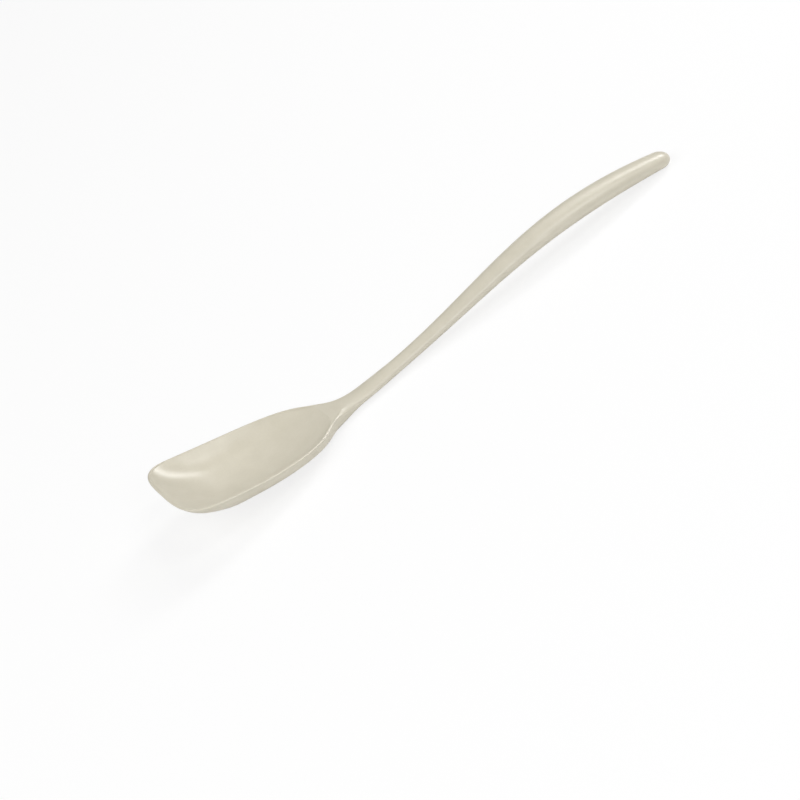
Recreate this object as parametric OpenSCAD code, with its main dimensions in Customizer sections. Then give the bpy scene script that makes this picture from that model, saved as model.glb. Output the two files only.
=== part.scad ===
// Cooking spoon, moulded in one piece, lying at rest on a table.
// The bowl and the handle are two nodes of one moulding, and meet face to face at the neck.
// In the design frame x runs back from the front edge, y across, and z up from the rim's lowest point.

/* [Bowl] */
// Width of the bowl over its rim, at its widest
bowl_w = 60.6; // [50:0.2:72]
// Distance from the front edge to where the rim runs parallel to the length
tip_l = 20; // [15:0.5:26]
// Squareness of the front corners, where 2 is an ellipse
tip_power = 3.2; // [2.4:0.1:3.6]
// Length of the hollow, from the front edge to the crease at the neck
hollow_l = 93; // [80:1:105]
// How much further back the crease reaches at its middle than at its ends
crease_bow = 7; // [2:0.5:9]
// Depth of the belly below the rim's lowest point
bowl_depth = 13.6; // [10:0.2:18]
// Distance from the front edge to the deepest point
deep_x = 29.2; // [26:0.2:42]
// Fullness of the underside's cross-section towards the neck, where 2 is an ellipse
under_power = 4; // [2:0.1:5]
// Thickness of the bowl's bottom
wall_t = 2.4; // [1.8:0.1:3.2]
// Thickness of the rim, which is a full round
rim_t = 1.4; // [1.2:0.1:2.2]
// How far the rim dips below the front edge
rim_sag = 1.75; // [0:0.05:4]
// Distance from the front edge to the rim's lowest point
sag_x = 41; // [30:0.5:55]
// Slope of the hollow's walls, where 1 is its whole depth over half of its width
wall_slope = 2.8; // [2.2:0.1:3.2]
// Sharpness of the bend between the hollow's walls and its floor
foot_power = 3.5; // [2.5:0.1:6]

/* [Neck] */
// Length of the neck, from the crease back to the handle's first full oval
neck_l = 25; // [20:1:36]
// Width of the neck where the handle's oval begins
neck_w = 11.8; // [9:0.1:13]
// Height of the neck where the handle's oval begins
neck_h = 6; // [5.5:0.1:8]
// How far the handle's centreline starts below the rim's lowest point
neck_drop = 1.8; // [0:0.1:3]
// Slope of the handle's centreline at the crease
neck_slope = 0.21; // [0.1:0.01:0.3]

/* [Handle] */
// Length of the spoon, measured along the rim's plane
overall_l = 309; // [280:1:340]
// Height of the handle's end above the rim's lowest point
handle_rise = 51; // [35:1:60]
// Distance from the neck back to the handle's waist, its thinnest place
waist_l = 21; // [10:1:40]
// Width at the waist
waist_w = 9.3; // [7:0.1:11]
// Height at the waist
waist_h = 6.5; // [5.5:0.1:8.5]
// Distance from the end to the thickest place of the grip
grip_back = 59; // [45:1:80]
// Width of the grip at its thickest
grip_w = 15.7; // [12:0.1:18]
// Height of the grip at its thickest
grip_h = 10.9; // [9:0.1:14]
// Width that the grip narrows to at its end, before the end rounds off
end_w = 11.3; // [8:0.1:14]
// Height that the grip thins to at its end, before the end rounds off
end_h = 7.8; // [6:0.1:11]
// Length over which the end rounds off
end_l = 6.1; // [4:0.1:10]

/* [Smoothness] */
// Steps across the bowl, an odd number so that the spoon lies on narrow flats and not on a ridge
cols = 25; // [17:2:29]
// Steps along the side of the hollow
side_rows = 26; // [16:2:30]
// Steps along the neck
neck_rows = 12; // [8:1:14]
// Steps along the handle
handle_rows = 36; // [24:2:40]

/* [Hidden] */

colour = [0.85, 0.82, 0.75];

// Places along the length that follow from the sizes above
neck_x = hollow_l + neck_l;
waist_x = neck_x + waist_l;
grip_x = overall_l - grip_back;
half_w = bowl_w / 2;

// Steps round each front corner, round the handle's end, and over the rim's round
corner_rows = 6;
end_rows = 7;
rim_steps = 4;

// The side of the rim is one curve, pulled along the length at both of its ends
side_pull_share = 0.918;
neck_pull_share = 0.458;
// The bottom line falls from the front edge, and then rises to the neck
front_pull_shares = [0.228, 0.627];
front_flat_share = 0.84;
back_flat_share = 0.289;
back_rise_shares = [0.49, 0.135];
back_end_share = 0.393;
// The hollow's own floor rises to the crease
floor_flat_share = 0.36;
crease_pull_share = 0.2;
crease_slope = 0.45;
// Across the hollow its floor rises by this share of the depth, before the walls take over
floor_bow_share = 0.33;
// The hollow's wall starts this share of the rim's thickness below the rim's top
inner_drop_share = 0.3;
// The handle's centreline is one curve from the crease to the end
rise_pull_share = 0.454;
end_pull_share = 0.467;
// The underside's cross-section fills out between these shares of the way from deepest point to crease
full_shares = [0.07, 1.16];
// The underside turns into the handle's oval sooner than the top does, by this power
under_lead = 2.2;
// The front row of the bowl ends this far round the corner
corner_a = 50;
// On the handle's oval the rim's round takes up this much at each side
shoulder_a = 50;
// A small turn, over which the front's direction is measured
turn_a = 0.01;
// How often a search halves its range, and the steepest lean that the search at rest looks at
halvings = 30;
most_pitch = 40;

// Ease from 0 to 1 with no slope at either end
function ease(u) = let (v = min(max(u, 0), 1)) v * v * (3 - 2 * v);
function mix(a, b, k) = a * (1 - k) + b * k;
// A cubic curve through the first and last of four points
function curve(p, t) =
    p[0] * pow(1 - t, 3) + p[1] * 3 * t * pow(1 - t, 2) + p[2] * 3 * t * t * (1 - t) + p[3] * pow(t, 3);
function curve_slope(p, t) =
    (p[1] - p[0]) * pow(1 - t, 2) + (p[2] - p[1]) * 2 * t * (1 - t) + (p[3] - p[2]) * t * t;
// The curve's parameter where it reaches x, by halving
function curve_t(p, x, low = 0, high = 1, left = halvings) =
    let (mid = (low + high) / 2)
    left == 0 ? mid
    : curve(p, mid)[0] < x ? curve_t(p, x, mid, high, left - 1)
    : curve_t(p, x, low, mid, left - 1);
function height_on(p, x) = curve(p, curve_t(p, x))[1];

// Height of the rim's top along the length
function rim_z(x) = rim_sag * pow((x - sag_x) / sag_x, 2);
// Height of the rim's widest line, half its thickness lower
function edge_z(x) = rim_z(x) - rim_t / 2;

// The side of the rim in plan
side_span = neck_x - tip_l;
side_curve = [
    [tip_l, half_w],
    [tip_l + side_pull_share * side_span, half_w],
    [neck_x - neck_pull_share * side_span, neck_w / 2],
    [neck_x, neck_w / 2]
];
// The front of the rim in plan, a squarish oval
function front_x(a) = tip_l * (1 - pow(cos(a), 2 / tip_power));
function front_y(a) = half_w * pow(sin(a), 2 / tip_power);

// The belly's bottom line in side view, in front of and behind its deepest point
back_span = neck_x - deep_x;
belly_front = [
    [0, edge_z(0)],
    [front_pull_shares[0] * deep_x, -front_pull_shares[1] * bowl_depth],
    [front_flat_share * deep_x, -bowl_depth],
    [deep_x, -bowl_depth]
];
belly_back = [
    [deep_x, -bowl_depth],
    [deep_x + back_flat_share * back_span, -bowl_depth],
    [neck_x - back_rise_shares[0] * back_span, -back_rise_shares[1] * bowl_depth],
    [neck_x, -back_end_share * bowl_depth]
];
function belly_z(x) = height_on(x < deep_x ? belly_front : belly_back, x);

// The hollow's floor in side view
floor_span = hollow_l - deep_x;
floor_low = wall_t - bowl_depth;
floor_front = [
    [rim_t, rim_z(rim_t) - inner_drop_share * rim_t],
    [rim_t + front_pull_shares[0] * deep_x, front_pull_shares[1] * floor_low],
    [rim_t + front_flat_share * deep_x, floor_low],
    [deep_x, floor_low]
];
crease_pull = crease_pull_share * floor_span;
floor_back = [
    [deep_x, floor_low],
    [deep_x + floor_flat_share * floor_span, floor_low],
    [hollow_l - crease_pull, rim_z(hollow_l) - crease_slope * crease_pull],
    [hollow_l, rim_z(hollow_l)]
];
function floor_z(x) = height_on(x < deep_x ? floor_front : floor_back, x);

// The handle's centreline in side view
rise_span = overall_l - hollow_l;
centreline = [
    [hollow_l, -neck_drop],
    [hollow_l + rise_pull_share * rise_span, -neck_drop + neck_slope * rise_pull_share * rise_span],
    [overall_l - end_pull_share * rise_span, handle_rise],
    [overall_l, handle_rise]
];
function centre_z(x) = height_on(centreline, x);

// A size of the handle's oval along its length, from its values at neck, waist, grip and end
function along(x, neck, waist, grip, end) =
    x < waist_x ? mix(neck, waist, ease((x - neck_x) / waist_l))
    : x < grip_x ? mix(waist, grip, ease((x - waist_x) / (grip_x - waist_x)))
    : mix(grip, end, pow((x - grip_x) / grip_back, 2));
function oval_w(x) = along(x, neck_w, waist_w, grip_w, end_w) / 2;
function oval_h(x) = along(x, neck_h, waist_h, grip_h, end_h) / 2;

// Every ring has the same order of points: the underside from the near side to the far side,
// the far rim's round, the top from far to near, and the near rim's round.
ring_n = 2 * cols + 2 * rim_steps;
function oval_angle(r) =
    r <= cols ? 180 + 180 * r / cols
    : r <= cols + rim_steps ? shoulder_a * (r - cols) / rim_steps
    : r <= 2 * cols + rim_steps ? mix(shoulder_a, 180 - shoulder_a, (r - cols - rim_steps) / cols)
    : mix(180 - shoulder_a, 180, (r - 2 * cols - rim_steps) / rim_steps);
function oval_point(r, x, w, h) = [x, w * cos(oval_angle(r)), centre_z(x) + h * sin(oval_angle(r))];

// Each row of the bowl: edge point in plan and the outward direction there
function row(p, d) = [p[0], p[1], -d[1] / norm(d), d[0] / norm(d)];
function front_slope(a) =
    [front_x(a + turn_a) - front_x(a - turn_a), front_y(a + turn_a) - front_y(a - turn_a)];
crease_t = curve_t(side_curve, hollow_l - crease_bow);
rows = [
    for (i = [0 : corner_rows - 1])
        let (a = corner_a + (90 - corner_a) * i / corner_rows)
        row([front_x(a), front_y(a)], front_slope(a)),
    for (i = [0 : side_rows])
        let (t = crease_t * i / side_rows)
        row(curve(side_curve, t), curve_slope(side_curve, t)),
    for (i = [1 : neck_rows])
        let (t = crease_t + (1 - crease_t) * i / neck_rows)
        row(curve(side_curve, t), curve_slope(side_curve, t))
];
crease_row = corner_rows + side_rows;
last_row = crease_row + neck_rows;
front_bow = front_x(corner_a);

// The front's bulge, from 0 at the middle to 1 at the corners, which the rows behind it repeat
corner_share = front_y(corner_a) / half_w;
function bulge(t) = 1 - pow(1 - pow(t, tip_power), 1 / tip_power);
function bow(t) = bulge(corner_share * min(abs(t), 1)) / bulge(corner_share);
function front_fade(x) = pow(max(1 - (x - front_bow) / (deep_x - front_bow), 0), 2);
// Where a row crosses the middle, on the underside and on the top
function under_x(e) = e[0] - front_bow * front_fade(e[0]);
function top_x(i) =
    let (e = rows[i], c = rows[crease_row][0])
    under_x(e) + crease_bow * (i <= crease_row ? ease((e[0] - deep_x) / (c - deep_x))
                               : 1 - ease((e[0] - c) / (neck_x - c)));

// How far the top and the underside of each row have turned from a bowl into a handle
function top_turned(e) = ease((e[0] - hollow_l) / neck_l);
function under_turned(e) = 1 - pow(1 - top_turned(e), under_lead);
function turned(e, r) =
    r <= cols ? under_turned(e)
    : r < cols + rim_steps ? mix(under_turned(e), top_turned(e), (r - cols) / rim_steps)
    : r <= 2 * cols + rim_steps ? top_turned(e)
    : mix(top_turned(e), under_turned(e), (r - 2 * cols - rim_steps) / rim_steps);
// How far the rim's inner side has flattened out into the neck's top
function flattened(i) = ease((i - crease_row + neck_rows / 2) / (neck_rows / 2));

// Outward direction in plan, from the front's middle to the edges
function out_dir(e, t) =
    let (mid = -front_fade(e[0]))
    [mid + (e[2] - mid) * bow(t), e[3] * t, 0];

// How full the underside's cross-section is at a row
function fullness(e) =
    let (back = (e[0] - deep_x) / (hollow_l - deep_x))
    mix(2, under_power, ease((back - full_shares[0]) / (full_shares[1] - full_shares[0])));
function under_point(i, t) =
    let (e = rows[i], x = under_x(e) + (e[0] - under_x(e)) * bow(t), z = edge_z(x), n = fullness(e))
    [x, e[1] * t, z + (belly_z(under_x(e)) - z) * pow(max(1 - pow(abs(t), n), 0), 1 / n)];
// How far below the rim's top the hollow's wall starts
function inner_drop(i) = inner_drop_share * rim_t * (1 - flattened(i));
// A point of the rim's round at angle a, from its outer side over its top to its inner side
function rim_height(i, x, a) =
    a > 90 ? rim_z(x) - inner_drop(i) * (1 - sin(a))
    : edge_z(x) + rim_t / 2 * sin(a);
function rim_point(i, t, a) =
    let (p = under_point(i, t))
    [p[0], p[1], rim_height(i, p[0], a)] + out_dir(rows[i], t) * rim_t / 2 * (cos(a) - 1);
// Depth across the hollow, from 1 at its middle to 0 at its edges
function dish(t) =
    let (wall = wall_slope * (1 - min(abs(t), 1)), low = 1 - floor_bow_share * t * t)
    wall / pow(1 + pow(wall / low, foot_power), 1 / foot_power);
// A point of the hollow, or behind the crease of the neck's flat top
function top_point(i, t) =
    let (
        side = rim_point(i, 1, 180),
        front = rim_point(0, t, 180),
        mid_x = top_x(i) + rim_t * front_fade(rows[i][0]),
        x = i == 0 ? front[0] : mid_x + (side[0] - mid_x) * bow(t),
        y = i == 0 ? front[1] : side[1] * t,
        z = rim_z(x) - inner_drop(i),
        deep = i < crease_row ? floor_z(mid_x) - z : 0
    )
    [x, y, z + (i == 0 ? 0 : deep) * dish(t)];

function bowl_point(i, r) =
    r <= cols ? under_point(i, -cos(180 * r / cols))
    : r < cols + rim_steps ? rim_point(i, 1, 180 * (r - cols) / rim_steps)
    : r <= 2 * cols + rim_steps ? top_point(i, cos(180 * (r - cols - rim_steps) / cols))
    : rim_point(i, -1, 180 - 180 * (r - 2 * cols - rim_steps) / rim_steps);
function bowl_ring(i) =
    let (e = rows[i])
    [for (r = [0 : ring_n - 1])
        i == last_row ? oval_point(r, neck_x, neck_w / 2, neck_h / 2)
        : mix(bowl_point(i, r), oval_point(r, e[0], e[1], neck_h / 2), turned(e, r))];

// The bowl's front edge, closed by the same round from column to column
front_base = (last_row + 1) * ring_n;
front_extra = [
    for (j = [1 : cols - 1])
        for (a = [1 : rim_steps - 1])
            rim_point(0, -cos(180 * j / cols), 180 * a / rim_steps)
];
function front_index(j, a) =
    a == 0 ? j
    : a == rim_steps ? 2 * cols + rim_steps - j
    : j == 0 ? 2 * cols + 2 * rim_steps - a
    : j == cols ? cols + a
    : front_base + (j - 1) * (rim_steps - 1) + a - 1;

bowl_points = concat([for (i = [0 : last_row]) each bowl_ring(i)], front_extra);

// The handle's rings, from the neck to the start of the end's round, then round it
end_start = overall_l - end_l;
handle_places = [
    for (i = [0 : handle_rows]) [mix(neck_x, end_start, i / handle_rows), 1],
    for (i = [1 : end_rows - 1])
        let (a = 90 * i / end_rows)
        [end_start + end_l * sin(a), cos(a)]
];
handle_points = concat(
    [for (p = handle_places) for (r = [0 : ring_n - 1])
        p[0] == neck_x ? oval_point(r, neck_x, neck_w / 2, neck_h / 2)
        : oval_point(r, p[0], oval_w(p[0]) * p[1], oval_h(p[0]) * p[1])],
    [[overall_l, 0, centre_z(overall_l)]]
);
handle_last = len(handle_places) - 1;

// Two triangles for each four neighbours, facing outwards
function quad(a, b, c, d) = [[a, c, b], [a, d, c]];
function tube_faces(last) = [
    for (i = [0 : last - 1])
        for (r = [0 : ring_n - 1])
            let (s = (r + 1) % ring_n)
            each quad(i * ring_n + r, i * ring_n + s, (i + 1) * ring_n + s, (i + 1) * ring_n + r)
];
bowl_faces = concat(
    tube_faces(last_row),
    [for (j = [0 : cols - 1]) for (a = [0 : rim_steps - 1])
        each quad(front_index(j, a), front_index(j, a + 1),
                  front_index(j + 1, a + 1), front_index(j + 1, a))],
    [[for (r = [ring_n - 1 : -1 : 0]) last_row * ring_n + r]]
);
handle_faces = concat(
    tube_faces(handle_last),
    [[for (r = [0 : ring_n - 1]) r]],
    [for (r = [0 : ring_n - 1])
        [handle_last * ring_n + (r + 1) % ring_n, handle_last * ring_n + r, (handle_last + 1) * ring_n]]
);

// At rest the spoon leans back until the underside of its neck and its handle's end both touch
function down(p, a) = p[2] * cos(a) - p[0] * sin(a);
function lowest(points, a) = min([for (p = points) down(p, a)]);
function rest_pitch(low = 0, high = most_pitch, left = halvings) =
    let (mid = (low + high) / 2)
    left == 0 ? mid
    : lowest(bowl_points, mid) < lowest(handle_points, mid) ? rest_pitch(mid, high, left - 1)
    : rest_pitch(low, mid, left - 1);
pitch = rest_pitch();
function forward(p) = p[0] * cos(pitch) + p[2] * sin(pitch);
front_end = min([for (p = bowl_points) forward(p)]);
back_end = max([for (p = handle_points) forward(p)]);

// Lay the spoon on the table, with its middle over the origin
module laid_down() {
    translate([-(front_end + back_end) / 2, 0, -lowest(bowl_points, pitch)])
        rotate([0, pitch, 0])
            children();
}

// The bowl with its rim and the flat-topped neck behind it
module bowl() {
    color(colour)
        laid_down()
            polyhedron(points = bowl_points, faces = bowl_faces, convexity = 4);
}

// The handle, an oval bar that rises and levels out
module handle() {
    color(colour)
        laid_down()
            polyhedron(points = handle_points, faces = handle_faces, convexity = 4);
}

bowl();
handle();
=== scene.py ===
from math import cos, hypot, pi, radians, sin, sqrt

import bmesh
import bpy
import numpy as np
from mathutils import Matrix, Vector


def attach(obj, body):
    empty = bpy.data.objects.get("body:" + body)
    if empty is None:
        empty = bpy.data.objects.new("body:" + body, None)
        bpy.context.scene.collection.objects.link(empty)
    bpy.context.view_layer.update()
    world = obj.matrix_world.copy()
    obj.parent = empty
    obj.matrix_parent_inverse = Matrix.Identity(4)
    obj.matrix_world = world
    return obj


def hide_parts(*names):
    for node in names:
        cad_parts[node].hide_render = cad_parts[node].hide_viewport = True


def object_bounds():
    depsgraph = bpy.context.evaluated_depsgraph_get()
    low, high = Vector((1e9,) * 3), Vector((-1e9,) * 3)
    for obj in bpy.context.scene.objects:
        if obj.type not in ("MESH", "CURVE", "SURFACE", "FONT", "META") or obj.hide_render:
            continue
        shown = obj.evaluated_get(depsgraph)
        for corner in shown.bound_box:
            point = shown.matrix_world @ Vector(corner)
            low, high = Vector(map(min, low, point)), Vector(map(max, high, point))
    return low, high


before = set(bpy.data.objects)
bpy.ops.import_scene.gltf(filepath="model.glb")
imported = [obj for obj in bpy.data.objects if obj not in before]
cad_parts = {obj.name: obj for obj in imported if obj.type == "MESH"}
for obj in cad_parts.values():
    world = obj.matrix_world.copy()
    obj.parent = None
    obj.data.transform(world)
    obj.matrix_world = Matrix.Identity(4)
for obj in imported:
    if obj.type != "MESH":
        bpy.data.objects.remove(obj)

CAD_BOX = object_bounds()
MM = 0.001

# Bowl: width over the rim
bowl_w = 60.6
# The squarish front: its length back to where the rim runs straight on, and the power of its oval
tip_l = 20
tip_power = 3.2
# Length of the hollow in its middle, and how much further back the crease reaches there than at its ends
hollow_l = 93
crease_bow = 7
# Depth of the belly below the rim's lowest point, and how far back its deepest place is
bowl_depth = 13.6
deep_x = 29.2
# Power of the underside's cross-section where it is fullest, towards the neck
under_power = 4
# Thickness of the bottom, and of the rim, which is a full round
wall_t = 2.4
rim_t = 1.4
# How far the rim dips below the front edge, and the place of its lowest point
rim_sag = 1.75
sag_x = 41
# Slope of the hollow's walls, and sharpness of the bend between them and the floor
wall_slope = 2.8
foot_power = 3.5

# Neck: length from the crease to the handle's first full oval, and that oval's width and height
neck_l = 25
neck_w = 11.8
neck_h = 6
# The handle's centreline at the crease: how far below the rim's lowest point, and how steep
neck_drop = 1.8
neck_slope = 0.21

# Handle: length of the whole spoon, and height of its end above the rim's lowest point
overall_l = 309
handle_rise = 51
# The waist, its thinnest place: distance from the neck, width and height
waist_l = 21
waist_w = 9.3
waist_h = 6.5
# The grip, its thickest place: distance from the end, width and height
grip_back = 59
grip_w = 15.7
grip_h = 10.9
# The end: width and height before it rounds off, and the length over which it does
end_w = 11.3
end_h = 7.8
end_l = 6.1

# Pulls at both ends of the curve that the rim's side follows in plan
side_pull_share = 0.918
neck_pull_share = 0.458
# The bottom line falls from the front edge to the deepest place, and then rises to the neck
front_pull_shares = (0.228, 0.627)
front_flat_share = 0.84
back_flat_share = 0.289
back_rise_shares = (0.49, 0.135)
back_end_share = 0.393
# The hollow's floor rises to the crease in its own curve
floor_flat_share = 0.36
crease_pull_share = 0.2
crease_slope = 0.45
# Pulls at both ends of the handle's centreline
rise_pull_share = 0.454
end_pull_share = 0.467
# The underside's cross-section fills out between these shares of the way from deepest place to crease
full_shares = (0.07, 1.16)
# The underside turns into the handle's oval sooner than the top does, by this power
under_lead = 2.2
# Across the hollow its floor rises by this share of the depth, before the walls take over
floor_bow_share = 0.33
# The hollow's wall starts this share of the rim's thickness below the rim's top
inner_drop_share = 0.3
# The rim's inner side flattens out over this last share of the side, before the crease
flat_share = 3 / 13
# Degrees round each corner where the front edge ends, and degrees of the oval at each side that the
# rim's round turns into
corner_a = 50
shoulder_a = 50
# The power of an oval that is an ellipse
ellipse_power = 2

# Rounding of the crease at the hollow's end, which the mould's polish leaves
crease_round = 0.12
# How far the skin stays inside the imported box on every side
inside = 0.02

# The cage that is drawn out: steps across, over the rim's round, round a corner, along the side, the
# neck and the handle, with closer rows just before the crease
cols = 16
rim_steps = 4
corner_rows = 5
side_rows = 18
crease_shares = (0.965, 0.985, 1)
neck_rows = 9
handle_rows = 20
# Closer rings before the handle's end, back from its round in shares of the round's length, and the
# angles of the rings on the round
lead_shares = (0.8, 0.35)
end_angles = (16, 32, 47, 61, 73)
# How often the cage is moved towards its goal, and how many times what is missing it moves by
draw_rounds = 14
draw_pull = 1.5

# Places and counts that follow from the sizes
neck_x = hollow_l + neck_l
waist_x = neck_x + waist_l
grip_x = overall_l - grip_back
round_x = overall_l - end_l
half_w = bowl_w / 2
ring_n = 2 * cols + 2 * rim_steps
# A step too small to matter: in degrees to measure a direction over, and in millimetres to compare places
tiny = 0.01
# How often a search halves its range, and the steepest lean that the search for the rest looks at
halvings = 30
most_pitch = 40


def ease(u):
    """From 0 to 1 with no slope at either end."""
    v = min(max(u, 0), 1)
    return v * v * (3 - 2 * v)


def mix(a, b, k):
    """From a to b as k goes from 0 to 1."""
    return a * (1 - k) + b * k


def curve(p, t):
    """A cubic curve through the first and last of four points."""
    p = [Vector(q) for q in p]
    u = 1 - t
    return p[0] * u ** 3 + p[1] * 3 * t * u ** 2 + p[2] * 3 * t * t * u + p[3] * t ** 3


def curve_slope(p, t):
    """The curve's direction there."""
    p = [Vector(q) for q in p]
    u = 1 - t
    return (p[1] - p[0]) * u ** 2 + (p[2] - p[1]) * 2 * t * u + (p[3] - p[2]) * t * t


def curve_t(p, x):
    """The curve's parameter where it reaches x, by halving."""
    low, high = 0, 1
    for _ in range(halvings):
        mid = (low + high) / 2
        if curve(p, mid)[0] < x:
            low = mid
        else:
            high = mid
    return (low + high) / 2


def height_on(p, x):
    """The second coordinate of a curve where its first is x."""
    return curve(p, curve_t(p, x))[1]


def rim_z(x):
    """Height of the rim's top."""
    return rim_sag * ((x - sag_x) / sag_x) ** 2


def edge_z(x):
    """Height of the rim's widest line."""
    return rim_z(x) - rim_t / 2


# The rim's side in plan, then in side view the bottom lines of belly and hollow and the handle's line
side_span = neck_x - tip_l
side_curve = (
    (tip_l, half_w),
    (tip_l + side_pull_share * side_span, half_w),
    (neck_x - neck_pull_share * side_span, neck_w / 2),
    (neck_x, neck_w / 2),
)
back_span = neck_x - deep_x
belly_front = (
    (0, edge_z(0)),
    (front_pull_shares[0] * deep_x, -front_pull_shares[1] * bowl_depth),
    (front_flat_share * deep_x, -bowl_depth),
    (deep_x, -bowl_depth),
)
belly_back = (
    (deep_x, -bowl_depth),
    (deep_x + back_flat_share * back_span, -bowl_depth),
    (neck_x - back_rise_shares[0] * back_span, -back_rise_shares[1] * bowl_depth),
    (neck_x, -back_end_share * bowl_depth),
)
floor_span = hollow_l - deep_x
floor_low = wall_t - bowl_depth
floor_front = (
    (rim_t, rim_z(rim_t) - inner_drop_share * rim_t),
    (rim_t + front_pull_shares[0] * deep_x, front_pull_shares[1] * floor_low),
    (rim_t + front_flat_share * deep_x, floor_low),
    (deep_x, floor_low),
)
crease_pull = crease_pull_share * floor_span
floor_back = (
    (deep_x, floor_low),
    (deep_x + floor_flat_share * floor_span, floor_low),
    (hollow_l - crease_pull, rim_z(hollow_l) - crease_slope * crease_pull),
    (hollow_l, rim_z(hollow_l)),
)
rise_span = overall_l - hollow_l
centreline = (
    (hollow_l, -neck_drop),
    (hollow_l + rise_pull_share * rise_span, -neck_drop + neck_slope * rise_pull_share * rise_span),
    (overall_l - end_pull_share * rise_span, handle_rise),
    (overall_l, handle_rise),
)


def belly_z(x):
    return height_on(belly_front if x < deep_x else belly_back, x)


def floor_z(x):
    return height_on(floor_front if x < deep_x else floor_back, x)


def centre_z(x):
    return height_on(centreline, x)


def along(x, neck, waist, grip, end):
    """A size of the handle's oval along its length."""
    if x < waist_x:
        return mix(neck, waist, ease((x - neck_x) / waist_l))
    if x < grip_x:
        return mix(waist, grip, ease((x - waist_x) / (grip_x - waist_x)))
    return mix(grip, end, ((x - grip_x) / grip_back) ** 2)


def oval_w(x):
    """Half the oval's width."""
    return along(x, neck_w, waist_w, grip_w, end_w) / 2


def oval_h(x):
    """Half the oval's height."""
    return along(x, neck_h, waist_h, grip_h, end_h) / 2


# Every ring has the same order of points: the underside from the near side to the far side, the far
# rim's round, the top from far to near, and the near rim's round.
def oval_angle(r):
    """Where a ring's point lies on the handle's oval."""
    if r <= cols:
        return 180 + 180 * r / cols
    if r <= cols + rim_steps:
        return shoulder_a * (r - cols) / rim_steps
    if r <= 2 * cols + rim_steps:
        return mix(shoulder_a, 180 - shoulder_a, (r - cols - rim_steps) / cols)
    return mix(180 - shoulder_a, 180, (r - 2 * cols - rim_steps) / rim_steps)


def oval_point(r, x, w, h):
    """A ring's point on an oval of half width w and half height h."""
    a = radians(oval_angle(r))
    return Vector((x, w * cos(a), centre_z(x) + h * sin(a)))


def front_point(a):
    """The front of the rim in plan, a squarish oval."""
    a = radians(a)
    x = tip_l * (1 - cos(a) ** (2 / tip_power))
    return Vector((x, half_w * sin(a) ** (2 / tip_power)))


# The crease's end on the rim's side, and the end of the front edge round the corner
crease_t = curve_t(side_curve, hollow_l - crease_bow)
crease_x = curve(side_curve, crease_t)[0]
front_bow = front_point(corner_a)[0]
corner_share = front_point(corner_a)[1] / half_w


class Row:
    """One row of the bowl: its edge point in plan and the outward direction there, whether it is the
    first row, whether it lies in the hollow, and how far the rim's inner side has flattened out."""

    def __init__(self, point, direction, side_share, first=False):
        size = hypot(*direction)
        self.x, self.y = point
        self.out = (-direction[1] / size, direction[0] / size)
        self.first = first
        self.hollow = side_share <= 1
        self.flat = ease((side_share - 1 + flat_share) / flat_share)


def make_rows():
    """The bowl's rows from the front corners back to the handle's first full oval."""
    rows = []
    for i in range(corner_rows):
        a = corner_a + (90 - corner_a) * i / corner_rows
        slope = front_point(a + tiny) - front_point(a - tiny)
        rows.append(Row(front_point(a), slope, 0, first=i == 0))
    shares = [i / side_rows for i in range(side_rows)]
    shares.extend(crease_shares)
    for share in shares:
        t = crease_t * share
        rows.append(Row(curve(side_curve, t), curve_slope(side_curve, t), share))
    for i in range(1, neck_rows + 1):
        t = crease_t + (1 - crease_t) * i / neck_rows
        rows.append(Row(curve(side_curve, t), curve_slope(side_curve, t), t / crease_t))
    return rows


def bulge(t):
    """How far back the front's oval has come at a share t of its half width, as a share of its length."""
    return 1 - (1 - t ** tip_power) ** (1 / tip_power)


def bow(t):
    """The front's bulge, from 0 at the middle to 1 at the corners."""
    return bulge(corner_share * min(abs(t), 1)) / bulge(corner_share)


def front_fade(x):
    """How much of the front's bow a row still has, from 1 at the corners to 0 at the deepest place."""
    return max(1 - (x - front_bow) / (deep_x - front_bow), 0) ** 2


def under_x(row):
    """Where a row crosses the middle on the underside."""
    return row.x - front_bow * front_fade(row.x)


def top_x(row):
    """Where a row crosses the middle on the top."""
    if row.hollow:
        back = ease((row.x - deep_x) / (crease_x - deep_x))
    else:
        back = 1 - ease((row.x - crease_x) / (neck_x - crease_x))
    return under_x(row) + crease_bow * back


def top_turned(x):
    """How far the top has turned from a bowl into a handle."""
    return ease((x - hollow_l) / neck_l)


def under_turned(x):
    """The same for the underside."""
    return 1 - (1 - top_turned(x)) ** under_lead


def turned(x, r):
    """The same for one point of a ring."""
    if r <= cols:
        return under_turned(x)
    if r < cols + rim_steps:
        return mix(under_turned(x), top_turned(x), (r - cols) / rim_steps)
    if r <= 2 * cols + rim_steps:
        return top_turned(x)
    return mix(top_turned(x), under_turned(x), (r - 2 * cols - rim_steps) / rim_steps)


def out_dir(row, t):
    """Outward direction in plan, from the front's middle to the edges."""
    mid = -front_fade(row.x)
    return Vector((mid + (row.out[0] - mid) * bow(t), row.out[1] * t, 0))


def swell(t, n):
    """Height of an oval of power n, from 1 at its middle to 0 at its edges."""
    return max(1 - abs(t) ** n, 0) ** (1 / n)


def dish(t):
    """Depth of the hollow, from 1 at its middle to 0 at its edges: a bowed floor between straight walls."""
    wall = wall_slope * (1 - min(abs(t), 1))
    return wall / (1 + (wall / (1 - floor_bow_share * t * t)) ** foot_power) ** (1 / foot_power)


def inner_drop(row):
    """How far the hollow's wall starts below the rim's top."""
    return inner_drop_share * rim_t * (1 - row.flat)


def under_point(row, t):
    """A point of the underside, with t from -1 at its near edge to 1 at its far edge."""
    back = (row.x - deep_x) / (hollow_l - deep_x)
    n = mix(ellipse_power, under_power, ease((back - full_shares[0]) / (full_shares[1] - full_shares[0])))
    middle = under_x(row)
    x = middle + (row.x - middle) * bow(t)
    z = edge_z(x)
    return Vector((x, row.y * t, z + (belly_z(middle) - z) * swell(t, n)))


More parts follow.
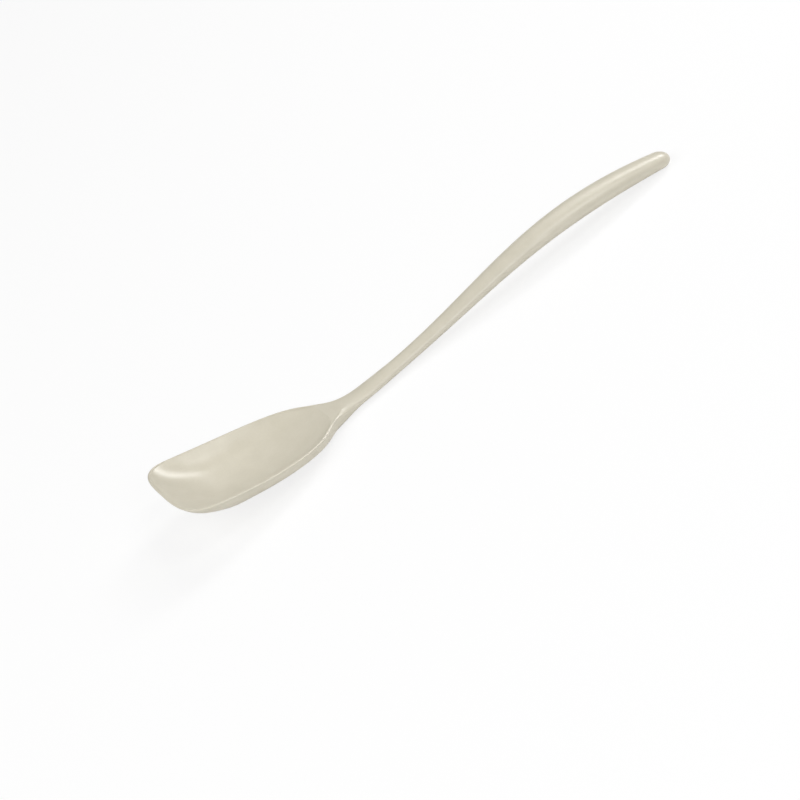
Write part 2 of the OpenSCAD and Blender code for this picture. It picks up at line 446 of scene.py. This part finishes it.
def rim_point(row, t, a):
    """A point of the rim's round at angle a, from its outer side over its top to its inner side."""
    p = under_point(row, t)
    s = sin(radians(a))
    if a > 90:
        p.z = rim_z(p.x) - inner_drop(row) * (1 - s)
    else:
        p.z = edge_z(p.x) + rim_t / 2 * s
    return p + out_dir(row, t) * rim_t / 2 * (cos(radians(a)) - 1)


def top_point(row, t):
    """A point of the hollow, or behind the crease of the neck's flat top."""
    if row.first:
        return rim_point(row, t, 180)
    side = rim_point(row, 1, 180)
    middle = top_x(row) + rim_t * front_fade(row.x)
    x = middle + (side.x - middle) * bow(t)
    z = rim_z(x) - inner_drop(row)
    if row.hollow:
        deep = floor_z(middle) - z
        z -= (hypot(deep, crease_round) - crease_round) * dish(t)
    return Vector((x, side.y * t, z))


def bowl_point(row, r):
    """A row's point number r, in the order of a ring."""
    if r <= cols:
        return under_point(row, -cos(pi * r / cols))
    if r < cols + rim_steps:
        return rim_point(row, 1, 180 * (r - cols) / rim_steps)
    if r <= 2 * cols + rim_steps:
        return top_point(row, cos(pi * (r - cols - rim_steps) / cols))
    return rim_point(row, -1, 180 - 180 * (r - 2 * cols - rim_steps) / rim_steps)


def section(row):
    """The ring of points that one row of the skin is drawn on."""
    if row.x >= neck_x - tiny:
        return [oval_point(r, neck_x, neck_w / 2, neck_h / 2) for r in range(ring_n)]
    return [
        mix(bowl_point(row, r), oval_point(r, row.x, row.y, neck_h / 2), turned(row.x, r))
        for r in range(ring_n)
    ]


def edge_ring(j, a):
    """The number in the ring of the front grid's point in column j and step a, if it is on the border."""
    if a == 0:
        return j
    if a == rim_steps:
        return 2 * cols + rim_steps - j
    if j == 0:
        return 2 * cols + 2 * rim_steps - a
    if j == cols:
        return cols + a
    return None


def front_edge(front):
    """The skin starts as a grid from -1 to 1, bent into the round of the front edge, border selected."""
    bpy.ops.object.select_all(action="DESELECT")
    bpy.ops.mesh.primitive_grid_add(x_subdivisions=cols, y_subdivisions=rim_steps, size=2)
    skin = bpy.context.active_object
    skin.name = "spoon_skin"
    skin.data.name = "spoon_skin"
    bpy.ops.object.mode_set(mode="EDIT")
    bm = bmesh.from_edit_mesh(skin.data)
    number = bm.verts.layers.int.new("ring")
    for v in bm.verts:
        j = round((v.co.x + 1) / 2 * cols)
        a = round((v.co.y + 1) / 2 * rim_steps)
        r = edge_ring(j, a)
        v[number] = -1 if r is None else r
        v.co = rim_point(front, -cos(pi * j / cols), 180 * a / rim_steps)
    bpy.ops.mesh.select_all(action="DESELECT")
    for e in bm.edges:
        e.select_set(e.is_boundary)
    bmesh.update_edit_mesh(skin.data)
    return skin


def pull_ring(skin, ring):
    """Extrude the open end by one ring, and set its points on the section."""
    bpy.ops.mesh.extrude_region_move()
    bm = bmesh.from_edit_mesh(skin.data)
    number = bm.verts.layers.int["ring"]
    for v in bm.verts:
        if v.select:
            v.co = ring[v[number]]
    bmesh.update_edit_mesh(skin.data)


def pull_handle(before, after):
    """Extrude the open end along the handle, from one oval to the next: place, half width, half height."""
    x, w, h = after
    step = (x - before[0], 0, centre_z(x) - centre_z(before[0]))
    bpy.ops.mesh.extrude_region_move(TRANSFORM_OT_translate={"value": step})
    grow = (1, w / before[1], h / before[2])
    bpy.ops.transform.resize(value=grow, center_override=(x, 0, centre_z(x)))
    return after


def close_end(skin):
    """Close the handle's end with a grid that bulges onto its round."""
    bpy.ops.mesh.fill_grid()
    w, h = oval_w(overall_l), oval_h(overall_l)
    bm = bmesh.from_edit_mesh(skin.data)
    for v in bm.verts:
        if v.select and all(e.select for e in v.link_edges):
            remains = 1 - (v.co.y / w) ** 2 - ((v.co.z - centre_z(overall_l)) / h) ** 2
            v.co.x = round_x + end_l * sqrt(max(remains, 0))
    bmesh.update_edit_mesh(skin.data)


def point_table(mesh):
    """The mesh's points, one to a row."""
    co = np.zeros(len(mesh.vertices) * 3)
    mesh.vertices.foreach_get("co", co)
    return co.reshape(-1, 3)


def draw_out(skin):
    """Move the cage until its smooth surface runs through the sections that it was drawn on."""
    goal = point_table(skin.data)
    cage = goal.copy()
    # The small cap at the handle's end keeps its points, because moving points so close together folds it
    cap_a = (end_angles[-2] + end_angles[-1]) / 2
    free = goal[:, :1] < round_x + end_l * sin(radians(cap_a))
    smooth = skin.modifiers.new("smooth", "SUBSURF")
    smooth.levels = 1
    smooth.render_levels = 1
    for _ in range(draw_rounds):
        drawn = skin.evaluated_get(bpy.context.evaluated_depsgraph_get()).data
        # The smoothed mesh has the cage's own points first
        reached = point_table(drawn)[: len(goal)]
        cage += free * (goal - reached) * draw_pull
        skin.data.vertices.foreach_set("co", cage.ravel())
        skin.data.update()
    smooth.levels = 2
    smooth.render_levels = 2
    bpy.ops.object.modifier_apply(modifier=smooth.name)


def rest_pitch(co):
    """The lean at which the underside of the neck and the handle's end touch the table together."""
    bowl = co[co[:, 0] <= neck_x]
    handle = co[co[:, 0] > neck_x]
    low, high = 0, most_pitch
    for _ in range(halvings):
        mid = (low + high) / 2
        s, c = sin(radians(mid)), cos(radians(mid))
        bowl_low, handle_low = ((part[:, 2] * c - part[:, 0] * s).min() for part in (bowl, handle))
        if bowl_low < handle_low:
            low = mid
        else:
            high = mid
    return radians(low)


def lay_down(skin):
    """Turn the skin to its rest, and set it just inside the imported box."""
    skin.rotation_euler = (0, rest_pitch(point_table(skin.data)), 0)
    skin.scale = (MM, MM, MM)
    bpy.ops.object.transform_apply(location=False, rotation=True, scale=True)
    co = point_table(skin.data)
    low, high = co.min(0), co.max(0)
    box_low = np.array(CAD_BOX[0]) + inside * MM
    box_high = np.array(CAD_BOX[1]) - inside * MM
    fit = (box_high - box_low) / (high - low)
    skin.scale = fit
    skin.location = box_low - low * fit
    bpy.ops.object.transform_apply(location=True, rotation=False, scale=True)


def make_skin():
    """Bowl, neck and handle as one skin."""
    rows = make_rows()
    skin = front_edge(rows[0])
    for row in rows:
        if not row.first:
            pull_ring(skin, section(row))
    before = (neck_x, neck_w / 2, neck_h / 2)
    places = [mix(neck_x, round_x, i / handle_rows) for i in range(1, handle_rows)]
    places.extend(round_x - end_l * share for share in lead_shares)
    for x in (*places, round_x):
        before = pull_handle(before, (x, oval_w(x), oval_h(x)))
    for a in end_angles:
        x = round_x + end_l * sin(radians(a))
        k = cos(radians(a))
        before = pull_handle(before, (x, oval_w(x) * k, oval_h(x) * k))
    close_end(skin)
    bpy.ops.mesh.select_all(action="SELECT")
    bpy.ops.mesh.normals_make_consistent(inside=False)
    bpy.ops.object.mode_set(mode="OBJECT")
    draw_out(skin)
    lay_down(skin)
    bpy.ops.object.shade_smooth()
    return skin


def linear(hex_colour):
    """An sRGB hex colour as linear red, green, blue and alpha."""
    out = []
    for i in (0, 2, 4):
        c = int(hex_colour[i:i + 2], 16) / 255
        out.append(c / 12.92 if c <= 0.04045 else ((c + 0.055) / 1.055) ** 2.4)
    return (*out, 1)


def add(tree, kind, settings=None, inputs=None, links=None):
    """Add a node with its settings, the values of its inputs, and links from other nodes' outputs."""
    node = tree.nodes.new(kind)
    for key, value in (settings or {}).items():
        setattr(node, key, value)
    for key, value in (inputs or {}).items():
        node.inputs[key].default_value = value
    for key, output in (links or {}).items():
        tree.links.new(output, node.inputs[key])
    return node


def clear_tree(owner):
    """The node tree of a material or world, switched on and emptied."""
    owner.use_nodes = True
    owner.node_tree.nodes.clear()
    return owner.node_tree


def grey(level):
    """A neutral colour of that linear level, where 1 is white."""
    return (level, level, level, 1)


def per_metre(size_mm):
    """A noise's scale for features of that size."""
    return 1 / (size_mm * MM)


# The resin's darker and lighter shade, the widths of its clouds and specks in millimetres, and the
# specks' share in the pattern. The filler's own specks are too fine to show, so they are drawn coarser.
dark_shade = "d3cdbb"
light_shade = "dad4c3"
cloud_w = 9
speck_w = 1.2
speck_share = 0.35
# Width in millimetres of the patches that the mould's polish leaves, and roughness of the smoothest and
# the dullest of them
polish_w = 14
smooth_rough = 0.31
dull_rough = 0.37
# Width and depth in millimetres of a moulded face's fine unevenness, and how strongly it shows
peel_w = 0.9
peel_depth = 0.02
peel_strength = 0.25
# The part of a noise's values that carries its pattern
noise_low = 0.3
noise_high = 0.7


def melamine():
    """Melamine resin with cellulose filler, compression-moulded and left satin by the mould.
    To the eye: a pale warm grey, coloured through, with a faint cloudiness from the filler, a broad
    soft gloss, and a very shallow unevenness that breaks the gloss up when seen close."""
    m = bpy.data.materials.new("satin_moulded_melamine")
    tree = clear_tree(m)
    where = add(tree, "ShaderNodeTexCoord").outputs["Object"]
    cloud = add(tree, "ShaderNodeTexNoise",
                inputs={"Scale": per_metre(cloud_w), "Detail": 3, "Roughness": 0.5},
                links={"Vector": where})
    speck = add(tree, "ShaderNodeTexNoise",
                inputs={"Scale": per_metre(speck_w), "Detail": 2, "Roughness": 0.6},
                links={"Vector": where})
    both = add(tree, "ShaderNodeMix", {"data_type": "FLOAT"}, {"Factor": speck_share},
               {"A": cloud.outputs["Fac"], "B": speck.outputs["Fac"]})
    tone = add(tree, "ShaderNodeValToRGB", links={"Fac": both.outputs["Result"]})
    tone.color_ramp.elements[0].position = noise_low
    tone.color_ramp.elements[0].color = linear(dark_shade)
    tone.color_ramp.elements[1].position = noise_high
    tone.color_ramp.elements[1].color = linear(light_shade)
    polish = add(tree, "ShaderNodeTexNoise",
                 inputs={"Scale": per_metre(polish_w), "Detail": 4, "Roughness": 0.6},
                 links={"Vector": where})
    satin = add(tree, "ShaderNodeMapRange",
                inputs={"From Min": noise_low, "From Max": noise_high,
                        "To Min": smooth_rough, "To Max": dull_rough},
                links={"Value": polish.outputs["Fac"]})
    peel = add(tree, "ShaderNodeTexNoise",
               inputs={"Scale": per_metre(peel_w), "Detail": 2, "Roughness": 0.5},
               links={"Vector": where})
    bump = add(tree, "ShaderNodeBump", inputs={"Strength": peel_strength, "Distance": peel_depth * MM},
               links={"Height": peel.outputs["Fac"]})
    shader = add(tree, "ShaderNodeBsdfPrincipled", inputs={"IOR": 1.6},
                 links={"Base Color": tone.outputs["Color"], "Roughness": satin.outputs["Result"],
                        "Normal": bump.outputs["Normal"]})
    add(tree, "ShaderNodeOutputMaterial", links={"Surface": shader.outputs["BSDF"]})
    return m


# The camera stands where the photograph's did, with its long lens. The spoon lies at rest here, so
# the camera is rolled to show it as it leans in the photograph. Angles are in degrees, lengths in
# millimetres, and cam_aim is the place that the camera looks at.
cam_az = 11.8507
cam_el = 33.1754
cam_roll = -31.6012
cam_dist = 1816.2
cam_aim = (-29.13, 0, -13.3)
cam_lens = 162.935
cam_sensor = 36


def camera_axes():
    """Right, up and forward of the camera."""
    az, el, roll = radians(cam_az), radians(cam_el), radians(cam_roll)
    forward = Vector((sin(az) * cos(el), cos(az) * cos(el), -sin(el)))
    level = Vector((cos(az), -sin(az), 0))
    upright = level.cross(forward)
    right = level * cos(roll) + upright * sin(roll)
    up = upright * cos(roll) - level * sin(roll)
    return right, up, forward


def make_camera():
    right, up, forward = camera_axes()
    place = Vector(cam_aim) * MM - forward * cam_dist * MM
    data = bpy.data.cameras.new("camera")
    data.sensor_width = cam_sensor
    data.lens = cam_lens
    camera = bpy.data.objects.new("camera", data)
    turn = Matrix((right, up, -forward)).transposed().to_4x4()
    camera.matrix_world = Matrix.Translation(place) @ turn
    bpy.context.scene.collection.objects.link(camera)
    bpy.context.scene.camera = camera


# Soft lamps, all at one distance: name, direction along the camera's own right, up and backward axes,
# width and height, lean of the width's right end towards the camera, and power. Lengths are in metres,
# powers in watts.
lamp_dist = 1.6
lamps = (
    ("strip", (0.3, 1, -0.05), (0.8, 0.4), 0.25, 7.5),
    ("strip_mid", (0.02, 1, 0.06), (1, 0.35), 0.1, 5.6),
    ("strip_left", (-0.3, 1, -0.25), (0.6, 0.4), 0.25, 1),
    ("high_front", (0.14, 0.66, 0.74), (0.7, 0.35), 0, 4.6),
    ("near_front", (0.2, 0.1, 0.97), (0.6, 0.4), 0, 3.4),
    ("front", (0.05, 0, 1), (1.4, 1.4), 0, 4.2),
    ("left", (-0.8, 0.1, 0.6), (1.4, 1.4), 0, 13.6),
)
# Strength of the even light from all sides
world_level = 0.03


def make_lamps():
    right, up, forward = camera_axes()
    for name, (r, u, b), (width, height), lean, power in lamps:
        data = bpy.data.lights.new(name, "AREA")
        data.shape = "ELLIPSE"
        data.size = width
        data.size_y = height
        data.energy = power
        lamp = bpy.data.objects.new(name, data)
        way = (right * r + up * u - forward * b).normalized()
        across = right - forward * lean
        across = (across - way * across.dot(way)).normalized()
        turn = Matrix((across, way.cross(across), way)).transposed().to_4x4()
        lamp.matrix_world = Matrix.Translation(way * lamp_dist) @ turn
        bpy.context.scene.collection.objects.link(lamp)


def make_world():
    """Even faint light from all sides, in place of which the camera sees plain white."""
    world = bpy.data.worlds.new("studio")
    tree = clear_tree(world)
    ray = add(tree, "ShaderNodeLightPath")
    light = add(tree, "ShaderNodeBackground", inputs={"Color": grey(1), "Strength": world_level})
    white = add(tree, "ShaderNodeBackground", inputs={"Color": grey(1), "Strength": 1})
    both = add(tree, "ShaderNodeMixShader", links={0: ray.outputs["Is Camera Ray"], 1: light.outputs[0],
                                                   2: white.outputs[0]})
    add(tree, "ShaderNodeOutputWorld", links={"Surface": both.outputs[0]})
    bpy.context.scene.world = world


# The table: its width in metres, the share of the light that it sends back, and the share of plain
# white in what the camera sees of it
floor_size = 8
floor_level = 0.96
floor_white_share = 0.8


def make_floor():
    """A plain table of matt white laminate, with the spoon's soft shadow on it."""
    bpy.ops.object.select_all(action="DESELECT")
    bpy.ops.mesh.primitive_plane_add(size=floor_size)
    floor = bpy.context.active_object
    floor.name = "table"
    m = bpy.data.materials.new("white_laminate")
    tree = clear_tree(m)
    ray = add(tree, "ShaderNodeLightPath")
    matt = add(tree, "ShaderNodeBsdfDiffuse", inputs={"Color": grey(floor_level)})
    white = add(tree, "ShaderNodeEmission", inputs={"Strength": 1})
    share = add(tree, "ShaderNodeMath", {"operation": "MULTIPLY"}, {1: floor_white_share},
                {0: ray.outputs["Is Camera Ray"]})
    both = add(tree, "ShaderNodeMixShader", links={0: share.outputs[0], 1: matt.outputs[0],
                                                   2: white.outputs[0]})
    add(tree, "ShaderNodeOutputMaterial", links={"Surface": both.outputs[0]})
    floor.data.materials.append(m)


make_camera()
skin = make_skin()
skin.data.materials.append(melamine())
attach(skin, "root")
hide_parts("bowl", "handle")
make_floor()
make_lamps()
make_world()
bpy.context.scene.view_settings.view_transform = "Standard"
